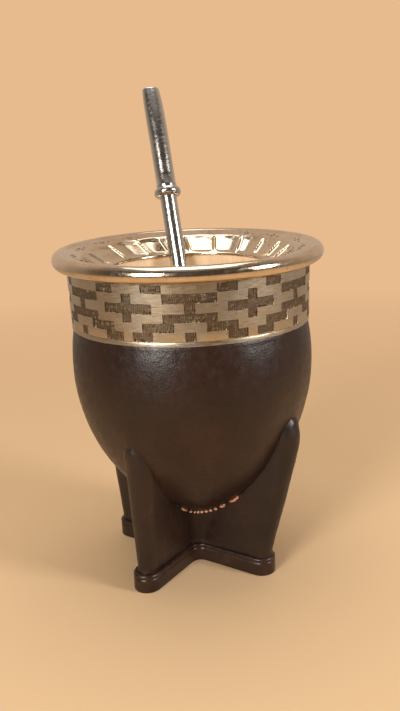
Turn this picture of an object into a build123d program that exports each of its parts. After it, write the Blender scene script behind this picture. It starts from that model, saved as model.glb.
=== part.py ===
"""Mate gourd with a leather cover, a four-finned stand, a chased metal crown and a metal straw.

Units are millimetres and +Z is up. The origin is on the gourd's axis, at the floor.
The stand's arms lie along the X and Y axes.
"""

from build123d import *
from math import asin, atan2, cos, degrees, hypot, radians, sin, sqrt, tan
import os

# Leather-covered ball: a round belly on a tighter round bottom, and a shoulder above the belly.
belly_radius = 44.7
belly_height = 81.0
belly_curve = 68.0
bottom_curve = 22.0
shoulder_curve = 71.0
leather_thickness = 1.8
gourd_wall = 6.0
throat_step = 1.4
throat_rise = 27.0

# Metal collar round the neck. Its bottom edge is where the leather goes under the metal.
# It starts a rise above the belly and stands proud of the leather.
collar_rise = 14.5
collar_proud = 0.4
collar_flare = 0.5
collar_wall = 0.9

# Metal lip: a rolled bead, a flat brim and a fluted slope down into the mouth.
# Each width is measured inwards, and each drop is measured down from the bead's crest.
bead_radius = 2.8
bead_reach = 2.06
bead_rise = 24.75
bead_tuck = 0.08
brim_width = 4.6
brim_drop = 0.55
fold_drop = 1.8
slope_width = 9.0
mouth_drop = 8.0
lip_thickness = 0.9
mouth_edge_rounding = 0.4
flute_count = 20
flute_radius = 0.6
flute_margin = 1.2
# The lip was soldered on a little out of level. Its lowest side faces this azimuth.
lip_tilt = 1.5
lip_tilt_azimuth = -55.0
lip_seat_clearance = 0.1

# Cross-shaped sole. The stand was sewn on a little off the gourd's axis.
sole_thickness = 7.1
sole_inset = 8.6
sole_half_width = 5.14
sole_corner = 3.6
sole_edge = 0.9
foot_x = -2.2
foot_y = -1.5

# Stand: at each height, a cross of four tapering arms with hollow corners between them.
# It ends a drop below the belly. Rows are (share of the way up from the sole, inset from the
# belly along X, the same along Y, half width at the centre, taper in degrees, corner).
stand_drop = 18.0
stand_rows = [
    (0.0, 10.0, 10.7, 3.9, 0.3, 4.0),
    (0.16, 8.2, 9.3, 4.8, 1.2, 7.0),
    (0.34, 6.1, 7.8, 5.8, 2.3, 11.5),
    (0.55, 3.7, 6.1, 7.6, 4.4, 17.0),
    (0.77, 1.3, 4.5, 9.6, 6.6, 20.0),
    (0.89, 0.8, 4.1, 10.4, 7.4, 20.0),
    (1.0, 2.5, 4.3, 10.8, 8.0, 20.0),
]
upright_share = 0.77

# Sewing thread that draws the cover down onto the stand: one run in each corner of the stand.
thread_radius = 0.55
thread_stand_off = 1.7
thread_margin = 10.5
thread_points = 9
seam_steps = 40
seam_tolerance = 0.02
arc_share = 0.45
thread_corners = ["back_right", "back_left", "front_left", "front_right"]

# Metal straw. It stands on its filter and leans on the back of the mouth.
# Places along the straw are measured from the centre of the filter's rounded foot.
straw_foot_x = 5.0
straw_foot_y = 2.7
straw_foot_rise = 5.6
lean_azimuth = 135.0
lean_clearance = 0.25
stem_radius = 3.35
stem_wall = 0.7
filter_radius = 6.0
filter_length = 26.0
filter_middle = 10.0
filter_wall = 0.8
filter_sleeve_length = 6.0
filter_hole_radius = 0.65
filter_hole_rows = [4.0, 8.0, 12.0]
filter_holes_in_row = 8
upper_radius = 3.87
upper_wall = 1.1
ring_radius = 5.35
ring_height = 3.6
ring_place = 113.4
straw_end = 156.5
# The flattened tip: rows are (share of the tip, half width, half depth, bend).
tip_length = 24.0
tip_wall = 1.1
tip_rows = [
    (0.0, upper_radius, upper_radius, 0.0),
    (0.4, 3.95, 3.6, 0.2),
    (0.75, 3.85, 3.1, 0.6),
    (1.0, 3.45, 2.6, 1.1),
]

# Worked out from the sizes above.
bottom_centre = belly_height - sqrt(
    (belly_curve - bottom_curve) ** 2 - (belly_curve - belly_radius) ** 2
)
join_angle = degrees(atan2(belly_height - bottom_centre, belly_curve - belly_radius))


def shoulder_radius(inset):
    """Radius at the collar's bottom edge of the ball drawn in by an inset."""
    curve = shoulder_curve - inset
    return belly_radius - shoulder_curve + sqrt(curve**2 - collar_rise**2)


collar_bottom = belly_height + collar_rise
collar_radius = shoulder_radius(0) + collar_proud
collar_top_radius = collar_radius + collar_flare
bead_ring_radius = collar_top_radius + bead_reach
bead_height = collar_bottom + bead_rise
brim_radius = bead_ring_radius - bead_radius + bead_tuck
fold_radius = brim_radius - brim_width
mouth_radius = fold_radius - slope_width
throat_radius = mouth_radius + throat_step
throat_height = belly_height + throat_rise
crest_height = bead_height + bead_radius
collar_top = bead_height - sqrt(bead_radius**2 - bead_reach**2) - lip_seat_clearance
tilt_way = Vector(1, 0, 0).rotate(Axis.Z, lip_tilt_azimuth + 90)
tilt_axis = Axis((0, 0, bead_height), tilt_way)
lip_up = Vector(0, 0, 1).rotate(Axis((0, 0, 0), tilt_way), lip_tilt)
sole_reach = belly_radius - sole_inset
stand_top = belly_height - stand_drop


def ball_radius(height):
    """Outside radius of the leather ball at a height below the collar."""
    centre, curve, centre_height = 0.0, bottom_curve, bottom_centre
    if height > belly_height - belly_curve * sin(radians(join_angle)):
        centre, curve, centre_height = belly_radius - belly_curve, belly_curve, belly_height
    if height > belly_height:
        centre, curve = belly_radius - shoulder_curve, shoulder_curve
    return centre + sqrt(max(curve**2 - (height - centre_height) ** 2, 0.0))


def ball_curve(inset, up_to_shoulder=True):
    """Draws the ball's half outline from its bottom, drawn in by an inset."""
    CenterArc((0, bottom_centre), bottom_curve - inset, -90, 90 - join_angle)
    CenterArc((belly_radius - belly_curve, belly_height), belly_curve - inset, -join_angle, join_angle)
    if up_to_shoulder:
        curve = shoulder_curve - inset
        rise = degrees(asin(collar_rise / curve))
        CenterArc((belly_radius - shoulder_curve, belly_height), curve, 0, rise)


def lip_top(radius):
    """Height of the lip's upper face at one radius."""
    stations = [
        (mouth_radius, crest_height - mouth_drop),
        (fold_radius, crest_height - fold_drop),
        (brim_radius, crest_height - brim_drop),
        (bead_ring_radius, crest_height),
    ]
    for (r0, z0), (r1, z1) in zip(stations, stations[1:]):
        if radius <= r1:
            return z0 + (z1 - z0) * (radius - r0) / (r1 - r0)
    return crest_height


def lip_under(radius):
    """Height of the lip's lower face at one radius."""
    steepness = (mouth_drop - fold_drop) / (fold_radius - mouth_radius)
    return lip_top(radius) - lip_thickness * hypot(1, steepness)


def stand_outline(reach_x, reach_y, half_width, taper, corner):
    """Draws the closed outline of the stand's cross: rounded tips, tapering flanks, hollow corners."""
    lean = radians(taper)
    centre = (corner + half_width * cos(lean)) / (sin(lean) + cos(lean))
    valley = (centre - corner * sin(lean), centre - corner * cos(lean))
    middle = centre - corner / sqrt(2)

    def tip(reach):
        nose_centre = (reach - half_width * cos(lean)) / (1 - sin(lean))
        nose = reach - nose_centre
        return nose_centre + nose * sin(lean), nose * cos(lean)

    for turn in range(4):
        reach, next_reach = (reach_x, reach_y) if turn % 2 == 0 else (reach_y, reach_x)
        along, across = tip(reach)
        next_along, next_across = tip(next_reach)
        corners = [
            (along, -across),
            (reach, 0),
            (along, across),
            valley,
            (middle, middle),
            (valley[1], valley[0]),
            (next_across, next_along),
        ]
        a, b, c, d, e, f, g = [Vector(x, y).rotate(Axis.Z, 90 * turn) for x, y in corners]
        ThreePointArc(a, b, c)
        Line(c, d)
        ThreePointArc(d, e, f)
        Line(f, g)


def gentle_radii(points):
    """Largest arc at each corner of a route that both of its runs leave room for."""
    radii = []
    for before, here, after in zip(points, points[1:], points[2:]):
        run_in, run_out = here - before, after - here
        half_turn = radians(run_in.get_angle(run_out)) / 2
        radii.append(arc_share * min(run_in.length, run_out.length) / tan(half_turn))
    return radii


def label_and_write(solid, name):
    """Labels a finished piece and writes its STEP file."""
    solid.label = name
    export_step(solid, f"parts/{name}.step")


os.makedirs("parts", exist_ok=True)

# All that lies above the lip's under face, tilted with it. It trims what the lip sits on.
with BuildPart() as level_space:
    with BuildSketch(Plane.XZ):
        Polygon(
            (0, lip_under(mouth_radius)),
            (mouth_radius, lip_under(mouth_radius)),
            (fold_radius, lip_under(fold_radius)),
            (brim_radius, lip_under(brim_radius)),
            (bead_ring_radius, lip_under(bead_ring_radius)),
            (bead_ring_radius, 2 * crest_height),
            (0, 2 * crest_height),
            align=None,
        )
    revolve(axis=Axis.Z)
lip_space = level_space.part.rotate(tilt_axis, lip_tilt)

# The dried gourd: a thick hollow ball with a narrower throat.
gourd_inset = leather_thickness + gourd_wall
neck_radius = shoulder_radius(leather_thickness)
inner_belly = belly_radius - gourd_inset
throat_curve = ((inner_belly - throat_radius) ** 2 + throat_rise**2) / (2 * (inner_belly - throat_radius))
with BuildPart() as gourd:
    with BuildSketch(Plane.XZ):
        with BuildLine():
            ball_curve(leather_thickness)
            Polyline(
                (neck_radius, collar_bottom),
                (neck_radius, crest_height),
                (throat_radius, crest_height),
                (throat_radius, throat_height),
            )
            throat_turn = degrees(asin(throat_rise / throat_curve))
            CenterArc((inner_belly - throat_curve, belly_height), throat_curve, 0, throat_turn)
            ball_curve(gourd_inset, up_to_shoulder=False)
            Line(
                (0, bottom_centre - bottom_curve + leather_thickness),
                (0, bottom_centre - bottom_curve + gourd_inset),
            )
        make_face()
    revolve(axis=Axis.Z)
    add(lip_space, mode=Mode.SUBTRACT)

# The leather cover: it wraps the ball and goes up between the neck and the collar.
with BuildPart() as body_leather:
    with BuildSketch(Plane.XZ):
        with BuildLine():
            ball_curve(0)
            Polyline(
                (shoulder_radius(0), collar_bottom),
                (collar_radius - collar_wall, collar_bottom),
                (collar_top_radius - collar_wall, bead_height),
                (collar_top_radius - collar_wall, crest_height),
                (neck_radius, crest_height),
                (neck_radius, collar_bottom),
            )
            ball_curve(leather_thickness)
            Line(
                (0, bottom_centre - bottom_curve),
                (0, bottom_centre - bottom_curve + leather_thickness),
            )
        make_face()
    revolve(axis=Axis.Z)
    add(lip_space, mode=Mode.SUBTRACT)

# The collar: a slightly flared metal band that ends under the lip's bead.
with BuildPart() as collar:
    with BuildSketch(Plane.XZ):
        Polygon(
            (collar_radius - collar_wall, collar_bottom),
            (collar_radius, collar_bottom),
            (collar_top_radius, bead_height),
            (collar_top_radius - collar_wall, bead_height),
            align=None,
        )
    revolve(axis=Axis.Z)
    split(bisect_by=Plane(origin=(0, 0, collar_top), z_dir=lip_up), keep=Keep.BOTTOM)

# The lip, with raised flutes down its inner slope.
slope_run = Vector(fold_radius - mouth_radius, 0, lip_top(fold_radius) - lip_top(mouth_radius))
slope_middle = (mouth_radius + fold_radius) / 2
flute_middle = Vector(slope_middle, 0, lip_top(slope_middle))
flute_plane = Plane(origin=flute_middle, z_dir=slope_run)
with BuildPart() as flute:
    with BuildSketch(flute_plane):
        Circle(flute_radius)
    extrude(amount=slope_run.length / 2 - flute_margin, both=True)

with BuildPart() as level_lip:
    with BuildSketch(Plane.XZ) as lip_section:
        Polygon(
            (mouth_radius, lip_top(mouth_radius)),
            (fold_radius, lip_top(fold_radius)),
            (brim_radius, lip_top(brim_radius)),
            (bead_ring_radius, crest_height),
            (bead_ring_radius, crest_height - lip_thickness),
            (brim_radius, lip_under(brim_radius)),
            (fold_radius, lip_under(fold_radius)),
            (mouth_radius, lip_under(mouth_radius)),
            align=None,
        )
        fillet(lip_section.vertices().group_by(Axis.X)[0], mouth_edge_rounding)
        with Locations((bead_ring_radius, bead_height)):
            Circle(bead_radius)
    revolve(axis=Axis.Z)
    with PolarLocations(0, flute_count):
        add(flute.part)

with BuildPart() as lip:
    add(level_lip.part.rotate(tilt_axis, lip_tilt))

# The sole: a thick cross with rounded ends, corners and edges.
with BuildPart() as sole:
    with BuildSketch(Plane(origin=(foot_x, foot_y, 0))) as cross:
        SlotOverall(2 * sole_reach, 2 * sole_half_width)
        SlotOverall(2 * sole_reach, 2 * sole_half_width, rotation=90)
        inner_corners = cross.vertices().sort_by(lambda v: hypot(v.X - foot_x, v.Y - foot_y))[:4]
        fillet(inner_corners, sole_corner)
    extrude(amount=sole_thickness)
    fillet(sole.edges().group_by(Axis.Z)[-1], sole_edge)
    fillet(sole.edges().group_by(Axis.Z)[0], sole_edge / 2)

# The stand: lofted from the sole up past the ball's bottom, then hollowed to seat the ball.
with BuildPart() as ball:
    with BuildSketch(Plane.XZ):
        with BuildLine():
            ball_curve(0)
            Polyline(
                (shoulder_radius(0), collar_bottom),
                (0, collar_bottom),
                (0, bottom_centre - bottom_curve),
            )
        make_face()
    revolve(axis=Axis.Z)

with BuildPart() as stand:
    for share, inset_x, inset_y, half_width, taper, corner in stand_rows:
        height = sole_thickness + share * (stand_top - sole_thickness)
        shift = max(0.0, 1 - share / upright_share)
        with BuildSketch(Plane(origin=(foot_x * shift, foot_y * shift, height))):
            with BuildLine():
                stand_outline(belly_radius - inset_x, belly_radius - inset_y, half_width, taper, corner)
            make_face()
    loft()
    add(ball.part, mode=Mode.SUBTRACT)

# The thread follows the edge where the ball meets the stand, from fin to fin.
seam = []
for edge in stand.part.edges().filter_by(GeomType.BSPLINE):
    middle = edge.position_at(0.5)
    if abs(hypot(middle.X, middle.Y) - ball_radius(middle.Z)) < seam_tolerance:
        seam += [edge.position_at(step / seam_steps) for step in range(seam_steps + 1)]

for quarter, corner_name in enumerate(thread_corners):
    facing = 45 + 90 * quarter
    away = Vector(cos(radians(facing)), sin(radians(facing)), 0)
    spread = 45 - thread_margin
    route = []
    for step in range(thread_points):
        azimuth = facing - spread + 2 * spread * step / (thread_points - 1)
        ray = Vector(cos(radians(azimuth)), sin(radians(azimuth)), 0)
        place = min(seam, key=lambda p: Vector(p.X, p.Y, 0).get_angle(ray))
        radial = Vector(place.X, place.Y, 0).normalized()
        hub = radial * (belly_radius - belly_curve) + Vector(0, 0, belly_height)
        outward = (place - hub).normalized()
        route.append(place + (outward + away).normalized() * thread_stand_off)
    with BuildPart() as thread:
        with BuildLine() as run:
            FilletPolyline(*route, radius=gentle_radii(route))
        with BuildSketch(Plane(origin=run.line @ 0, z_dir=run.line % 0)):
            Circle(thread_radius)
        sweep(path=run.line)
    label_and_write(thread.part, f"seam_thread_{corner_name}")

# The straw's axis passes the edge of the mouth at the stem's radius and a clearance.
foot_height = bottom_centre - bottom_curve + gourd_inset + straw_foot_rise
foot = Vector(straw_foot_x, straw_foot_y, foot_height)
edge_angle = radians(lean_azimuth)
level_edge = Vector(mouth_radius * cos(edge_angle), mouth_radius * sin(edge_angle), lip_top(mouth_radius))
lip_centre = Vector(0, 0, bead_height)
mouth_edge = lip_centre + (level_edge - lip_centre).rotate(tilt_axis, lip_tilt)
reach_out = mouth_edge - foot
level_out = Vector(reach_out.X, reach_out.Y, 0)
lean = atan2(level_out.length, reach_out.Z) - asin((stem_radius + lean_clearance) / reach_out.length)
straw_way = level_out.normalized() * sin(lean) + Vector(0, 0, cos(lean))
bend_way = level_out.normalized() * cos(lean) - Vector(0, 0, sin(lean))
side_way = straw_way.cross(bend_way)
straw_axis = Axis(foot, straw_way)
straw_section = Plane(origin=foot, x_dir=bend_way, z_dir=side_way * -1)


def across_straw(place, bend=0.0):
    """Plane square to the straw at one place along it."""
    return Plane(origin=foot + straw_way * place + bend_way * bend, x_dir=side_way, z_dir=straw_way)


filter_top = filter_middle + filter_length / 2
stem_start = filter_top - filter_sleeve_length

# The filter: a hollow spindle with a sleeve for the stem and rows of small holes.
with BuildPart() as straw_filter:
    with BuildSketch(straw_section):
        with Locations((0, filter_middle)):
            Ellipse(filter_radius, filter_length / 2)
            inner_radius, inner_length = filter_radius - filter_wall, filter_length / 2 - filter_wall
            Ellipse(inner_radius, inner_length, mode=Mode.SUBTRACT)
        with Locations((-filter_radius, filter_middle)):
            Rectangle(2 * filter_radius, filter_length, mode=Mode.SUBTRACT)
    revolve(axis=straw_axis)
    with BuildSketch(across_straw(stem_start)):
        Circle(stem_radius + filter_wall)
    extrude(amount=filter_sleeve_length)
    with BuildSketch(across_straw(stem_start)):
        Circle(stem_radius)
    extrude(amount=filter_sleeve_length, mode=Mode.SUBTRACT)
    for row in filter_hole_rows:
        with Locations(across_straw(row)):
            with PolarLocations(0, filter_holes_in_row):
                Cylinder(
                    filter_hole_radius,
                    filter_radius + filter_wall,
                    rotation=(0, 90, 0),
                    align=(Align.CENTER, Align.CENTER, Align.MIN),
                    mode=Mode.SUBTRACT,
                )

# The stem: a plain tube from the filter to the ring.
with BuildPart() as straw_stem:
    with BuildSketch(across_straw(stem_start)):
        Circle(stem_radius)
        Circle(stem_radius - stem_wall, mode=Mode.SUBTRACT)
    extrude(amount=ring_place - stem_start)

# The ring: a turned bead over the joint of the two tubes.
with BuildPart() as straw_ring:
    with BuildSketch(straw_section):
        with Locations((upper_radius, ring_place)):
            Ellipse(ring_radius - upper_radius, ring_height / 2)
        with Locations((0, ring_place)):
            Rectangle(2 * upper_radius, ring_height / 2, align=(Align.CENTER, Align.MIN), mode=Mode.SUBTRACT)
            Rectangle(2 * stem_radius, ring_height / 2, align=(Align.CENTER, Align.MAX), mode=Mode.SUBTRACT)
    revolve(axis=straw_axis)

# The mouthpiece: a wider tube with a flattened, slightly bent tip.
tip_start = straw_end - tip_length
with BuildPart() as tip_bore:
    for part_way, width, depth, bend in tip_rows:
        with BuildSketch(across_straw(tip_start + tip_length * part_way, bend)):
            Ellipse(width - tip_wall, depth - tip_wall)
    loft()

with BuildPart() as straw_mouthpiece:
    with BuildSketch(across_straw(ring_place)):
        Circle(upper_radius)
    extrude(amount=tip_start - ring_place)
    for part_way, width, depth, bend in tip_rows:
        with BuildSketch(across_straw(tip_start + tip_length * part_way, bend)):
            Ellipse(width, depth)
    loft()
    with BuildSketch(across_straw(ring_place)):
        Circle(upper_radius - upper_wall)
    extrude(amount=tip_start - ring_place, mode=Mode.SUBTRACT)
    add(tip_bore.part, mode=Mode.SUBTRACT)

for solid, name in [
    (gourd.part, "gourd"),
    (body_leather.part, "body_leather"),
    (stand.part, "stand"),
    (sole.part, "sole"),
    (collar.part, "collar"),
    (lip.part, "lip"),
    (straw_filter.part, "straw_filter"),
    (straw_stem.part, "straw_stem"),
    (straw_ring.part, "straw_ring"),
    (straw_mouthpiece.part, "straw_mouthpiece"),
]:
    label_and_write(solid, name)
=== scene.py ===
"""Looks of a leather-covered mate gourd with a chased collar, a fluted metal lip and a metal straw.

Sizes in the classes are millimetres, as in the CAD model, and every mesh is made in metres.
"""

from dataclasses import dataclass, field
from enum import Enum
from functools import lru_cache
import logging
import math
import random
from typing import Callable, Iterable, Optional, Sequence

import bmesh
import bpy
from mathutils import Matrix, Vector, noise


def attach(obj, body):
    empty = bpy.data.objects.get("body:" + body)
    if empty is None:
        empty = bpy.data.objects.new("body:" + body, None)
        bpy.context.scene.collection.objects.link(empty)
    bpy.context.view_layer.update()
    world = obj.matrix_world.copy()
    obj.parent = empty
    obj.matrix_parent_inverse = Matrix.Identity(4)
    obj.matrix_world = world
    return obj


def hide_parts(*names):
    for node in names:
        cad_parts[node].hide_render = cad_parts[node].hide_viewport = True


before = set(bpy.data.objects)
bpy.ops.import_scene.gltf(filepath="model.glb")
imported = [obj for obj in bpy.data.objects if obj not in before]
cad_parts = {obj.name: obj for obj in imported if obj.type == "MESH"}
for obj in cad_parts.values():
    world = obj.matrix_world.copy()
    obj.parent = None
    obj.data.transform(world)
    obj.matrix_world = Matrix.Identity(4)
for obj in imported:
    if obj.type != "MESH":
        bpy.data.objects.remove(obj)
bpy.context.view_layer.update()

log = logging.getLogger("mate_gourd")

MM = 0.001
MERGE_DISTANCE = 0.002 * MM
TURN = 2 * math.pi
Row = list[Vector]
Color = tuple[float, float, float, float]


# ---------------------------------------------------------------- shared geometry


def polar(radius: float, azimuth: float, height: float) -> Vector:
    """A point in metres from a radius and height in millimetres and an azimuth in degrees."""
    turn = math.radians(azimuth)
    return Vector((radius * math.cos(turn), radius * math.sin(turn), height)) * MM


def blend(low: float, high: float, share: float) -> float:
    """The value a share of the way from low to high."""
    return low + (high - low) * share


def ease(value: float, start: float, end: float) -> float:
    """A smooth 0 to 1 step as a value goes from start to end."""
    share = max(0.0, min(1.0, (value - start) / (end - start)))
    return share * share * (3 - 2 * share)


def uneven(place: Vector, size: float, seed: float = 0.0) -> float:
    """Smooth noise from about -1 to 1 whose lumps have a size in millimetres."""
    return noise.noise(place / (size * MM) + Vector((seed, 1.7 * seed, -seed)))


def sheet_on_rows(rows: Sequence[Row], round_columns: bool = True) -> bmesh.types.BMesh:
    """Lays a grid on rows of points and closes it round its columns.

    Args:
        rows: Equally long rows of points, in metres.
        round_columns: Whether the last column meets the first.

    Returns:
        A mesh with a UV map of column share and row share.
    """
    bm = bmesh.new()
    count = len(rows[0])
    across = count + 1 if round_columns else count
    bmesh.ops.create_grid(bm, x_segments=across - 1, y_segments=len(rows) - 1, size=1.0)
    bm.verts.ensure_lookup_table()
    for number, vert in enumerate(bm.verts):
        line, column = divmod(number, across)
        vert.co = rows[line][column % count]
    bm.verts.index_update()
    uv = bm.loops.layers.uv.new("UVMap")
    for face in bm.faces:
        for loop in face.loops:
            line, column = divmod(loop.vert.index, across)
            loop[uv].uv = (column / (across - 1), line / (len(rows) - 1))
    bmesh.ops.remove_doubles(bm, verts=bm.verts[:], dist=MERGE_DISTANCE)
    flat = [face for face in bm.faces if face.calc_area() < 1e-14]
    bmesh.ops.delete(bm, geom=flat, context="FACES_ONLY")
    bmesh.ops.recalc_face_normals(bm, faces=bm.faces[:])
    return bm


def spun(outline: Sequence[tuple[float, float]], steps: int) -> bmesh.types.BMesh:
    """Spins a closed outline of (radius, height) in millimetres round the Z axis.

    Args:
        outline: Corners of the outline. A corner on the axis becomes a pole.
        steps: How many steps make the full turn.

    Returns:
        The closed mesh with its faces outwards.
    """
    bm = bmesh.new()
    verts = [bm.verts.new((radius * MM, 0.0, height * MM)) for radius, height in outline]
    edges = [bm.edges.new(pair) for pair in zip(verts, verts[1:] + verts[:1])]
    on_axis = [edge for edge in edges if all(abs(v.co.x) < 1e-9 for v in edge.verts)]
    for edge in on_axis:
        edges.remove(edge)
        bm.edges.remove(edge)
    bmesh.ops.spin(
        bm,
        geom=verts + edges,
        cent=(0, 0, 0),
        axis=(0, 0, 1),
        dvec=(0, 0, 0),
        angle=TURN,
        steps=steps,
        use_merge=True,
    )
    bmesh.ops.remove_doubles(bm, verts=bm.verts[:], dist=MERGE_DISTANCE)
    bmesh.ops.recalc_face_normals(bm, faces=bm.faces[:])
    return bm


def tube(path: Sequence[Vector], radii: Sequence[float], sides: int = 8) -> bmesh.types.BMesh:
    """A closed round tube along a path.

    Args:
        path: Points of the middle line, in metres.
        radii: The radius at each point, in millimetres. 0 closes an end to a point.
        sides: How many sides the tube has.

    Returns:
        The tube's mesh.
    """
    rows = []
    for number, point in enumerate(path):
        ahead = path[min(number + 1, len(path) - 1)] - path[max(number - 1, 0)]
        side = ahead.cross(Vector((0, 0, 1)))
        side = side.normalized() if side.length > 1e-9 else Vector((1, 0, 0))
        over = side.cross(ahead).normalized()
        row = []
        for step in range(sides):
            turn = TURN * step / sides
            row.append(point + (side * math.cos(turn) + over * math.sin(turn)) * radii[number] * MM)
        rows.append(row)
    return sheet_on_rows(rows)


def joined(parts: Iterable[bmesh.types.BMesh]) -> bmesh.types.BMesh:
    """Puts several meshes into one and frees them."""
    whole = bmesh.new()
    for part in parts:
        held = bpy.data.meshes.new("held")
        part.to_mesh(held)
        part.free()
        whole.from_mesh(held)
        bpy.data.meshes.remove(held)
    return whole


def make_piece(
    bm: bmesh.types.BMesh,
    name: str,
    material: bpy.types.Material,
    stands_for: Sequence[str] = (),
    crease: float = 40.0,
) -> bpy.types.Object:
    """Turns a mesh into a finished piece that rides on the part's body.

    Args:
        bm: The mesh, which is freed.
        name: The piece's name.
        material: Its finish.
        stands_for: CAD nodes that this piece is shown in place of.
        crease: Edges sharper than this many degrees stay sharp.

    Returns:
        The piece's object.
    """
    for face in bm.faces:
        face.smooth = True
    mesh = bpy.data.meshes.new(name)
    bm.to_mesh(mesh)
    bm.free()
    mesh.set_sharp_from_angle(angle=math.radians(crease))
    mesh.materials.append(material)
    piece = bpy.data.objects.new(name, mesh)
    bpy.context.scene.collection.objects.link(piece)
    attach(piece, "root")
    if stands_for:
        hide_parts(*stands_for)
    log.info("%s: %d faces", name, len(mesh.polygons))
    return piece


# ---------------------------------------------------------------- finishes


class Shader:
    """A material's node tree, with short ways to add what the finishes need."""

    def __init__(self, name: str) -> None:
        """Starts a material with one surface shader."""
        self.material = bpy.data.materials.new(name)
        self.material.use_nodes = True
        self.tree = self.material.node_tree
        self.skin = self.tree.nodes["Principled BSDF"]
        self.place = self.add("ShaderNodeTexCoord").outputs["Object"]

    def add(self, kind: str, **settings: object) -> bpy.types.Node:
        """Adds a node and sets its properties."""
        node = self.tree.nodes.new(kind)
        for key, value in settings.items():
            setattr(node, key, value)
        return node

    def join(self, source: object, target: bpy.types.NodeSocket) -> None:
        """Links a socket, or sets a plain value."""
        if isinstance(source, bpy.types.NodeSocket):
            self.tree.links.new(source, target)
        else:
            target.default_value = source

    def stretched(self, scale: tuple[float, float, float]) -> bpy.types.NodeSocket:
        """Object coordinates stretched along the axes."""
        node = self.add("ShaderNodeMapping")
        self.join(self.place, node.inputs["Vector"])
        node.inputs["Scale"].default_value = scale
        return node.outputs["Vector"]

    def noise(
        self,
        scale: float,
        detail: float = 3.0,
        rough: float = 0.5,
        twist: float = 0.0,
        at: Optional[bpy.types.NodeSocket] = None,
    ) -> bpy.types.NodeSocket:
        """Noise from 0 to 1 with so many lumps to the metre."""
        node = self.add("ShaderNodeTexNoise")
        self.join(at or self.place, node.inputs["Vector"])
        node.inputs["Scale"].default_value = scale
        node.inputs["Detail"].default_value = detail
        node.inputs["Roughness"].default_value = rough
        node.inputs["Distortion"].default_value = twist
        return node.outputs["Fac"]

    def cells(self, scale: float, edges: bool = False) -> bpy.types.NodeSocket:
        """Distance in a pattern of cells, to the middles or to the edges."""
        node = self.add("ShaderNodeTexVoronoi")
        node.feature = "DISTANCE_TO_EDGE" if edges else "F1"
        self.join(self.place, node.inputs["Vector"])
        node.inputs["Scale"].default_value = scale
        return node.outputs["Distance"]

    def sum(self, operation: str, first: object, second: object = 0.0, clamp: bool = False) -> bpy.types.NodeSocket:
        """A Math node's result."""
        node = self.add("ShaderNodeMath", operation=operation, use_clamp=clamp)
        self.join(first, node.inputs[0])
        self.join(second, node.inputs[1])
        return node.outputs[0]

    def band(self, value: object, low: float, high: float, to_low: float = 0.0, to_high: float = 1.0) -> bpy.types.NodeSocket:
        """Maps a range of values onto another, held at its ends."""
        node = self.add("ShaderNodeMapRange", clamp=True)
        self.join(value, node.inputs["Value"])
        for key, number in (("From Min", low), ("From Max", high), ("To Min", to_low), ("To Max", to_high)):
            node.inputs[key].default_value = number
        return node.outputs["Result"]

    def mix(self, share: object, first: object, second: object) -> bpy.types.NodeSocket:
        """A colour a share of the way from the first to the second."""
        node = self.add("ShaderNodeMix", data_type="RGBA")
        self.join(share, node.inputs[0])
        self.join(first, node.inputs[6])
        self.join(second, node.inputs[7])
        return node.outputs[2]

    def bump(self, height: bpy.types.NodeSocket, depth: float, under: Optional[bpy.types.NodeSocket] = None) -> bpy.types.NodeSocket:
        """A normal bent by a height whose full range is a depth in millimetres."""
        node = self.add("ShaderNodeBump")
        node.inputs["Strength"].default_value = 1.0
        node.inputs["Distance"].default_value = depth * MM
        self.join(height, node.inputs["Height"])
        if under is not None:
            self.join(under, node.inputs["Normal"])
        return node.outputs["Normal"]

    def attribute(self, name: str) -> bpy.types.NodeSocket:
        """A number stored on the piece's mesh."""
        return self.add("ShaderNodeAttribute", attribute_name=name).outputs["Fac"]

    def dress(self, **sockets: object) -> bpy.types.Material:
        """Sets or links the surface shader's sockets, named with underscores for spaces."""
        for key, value in sockets.items():
            self.join(value, self.skin.inputs[key.replace("_", " ")])
        return self.material


@dataclass(frozen=True)
class LeatherFinish:
    """Dark waxed leather with fine grain, cloudy colour and rubbed spots."""

    name: str
    dark: Color
    light: Color
    rubbed: Color
    grain_size: float = 0.7
    grain_depth: float = 0.05
    gloss: float = 0.36
    rub_amount: float = 0.35

    def make(self) -> bpy.types.Material:
        """Builds the material."""
        shader = Shader(self.name)
        clouds = shader.noise(38, detail=4, rough=0.6)
        fine = shader.noise(420, detail=3)
        pebbles = shader.cells(1 / (self.grain_size * MM))
        fibres = shader.noise(2600, detail=2)
        creases = shader.noise(150, detail=5, rough=0.65, twist=1.2)
        rub = shader.band(shader.noise(90, detail=6, rough=0.7), 0.56, 0.78, 0.0, self.rub_amount)
        tone = shader.mix(shader.band(clouds, 0.35, 0.68), self.dark, self.light)
        tone = shader.mix(shader.sum("MULTIPLY", rub, shader.band(fine, 0.3, 0.7)), tone, self.rubbed)
        grain = shader.sum("ADD", shader.sum("MULTIPLY", pebbles, 0.7), shader.sum("MULTIPLY", fibres, 0.45))
        low = shader.bump(creases, 3 * self.grain_depth)
        normal = shader.bump(grain, self.grain_depth, low)
        gloss = shader.band(fine, 0.25, 0.75, self.gloss - 0.07, self.gloss + 0.09)
        return shader.dress(Base_Color=tone, Roughness=gloss, Normal=normal, Specular_IOR_Level=0.42)


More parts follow.
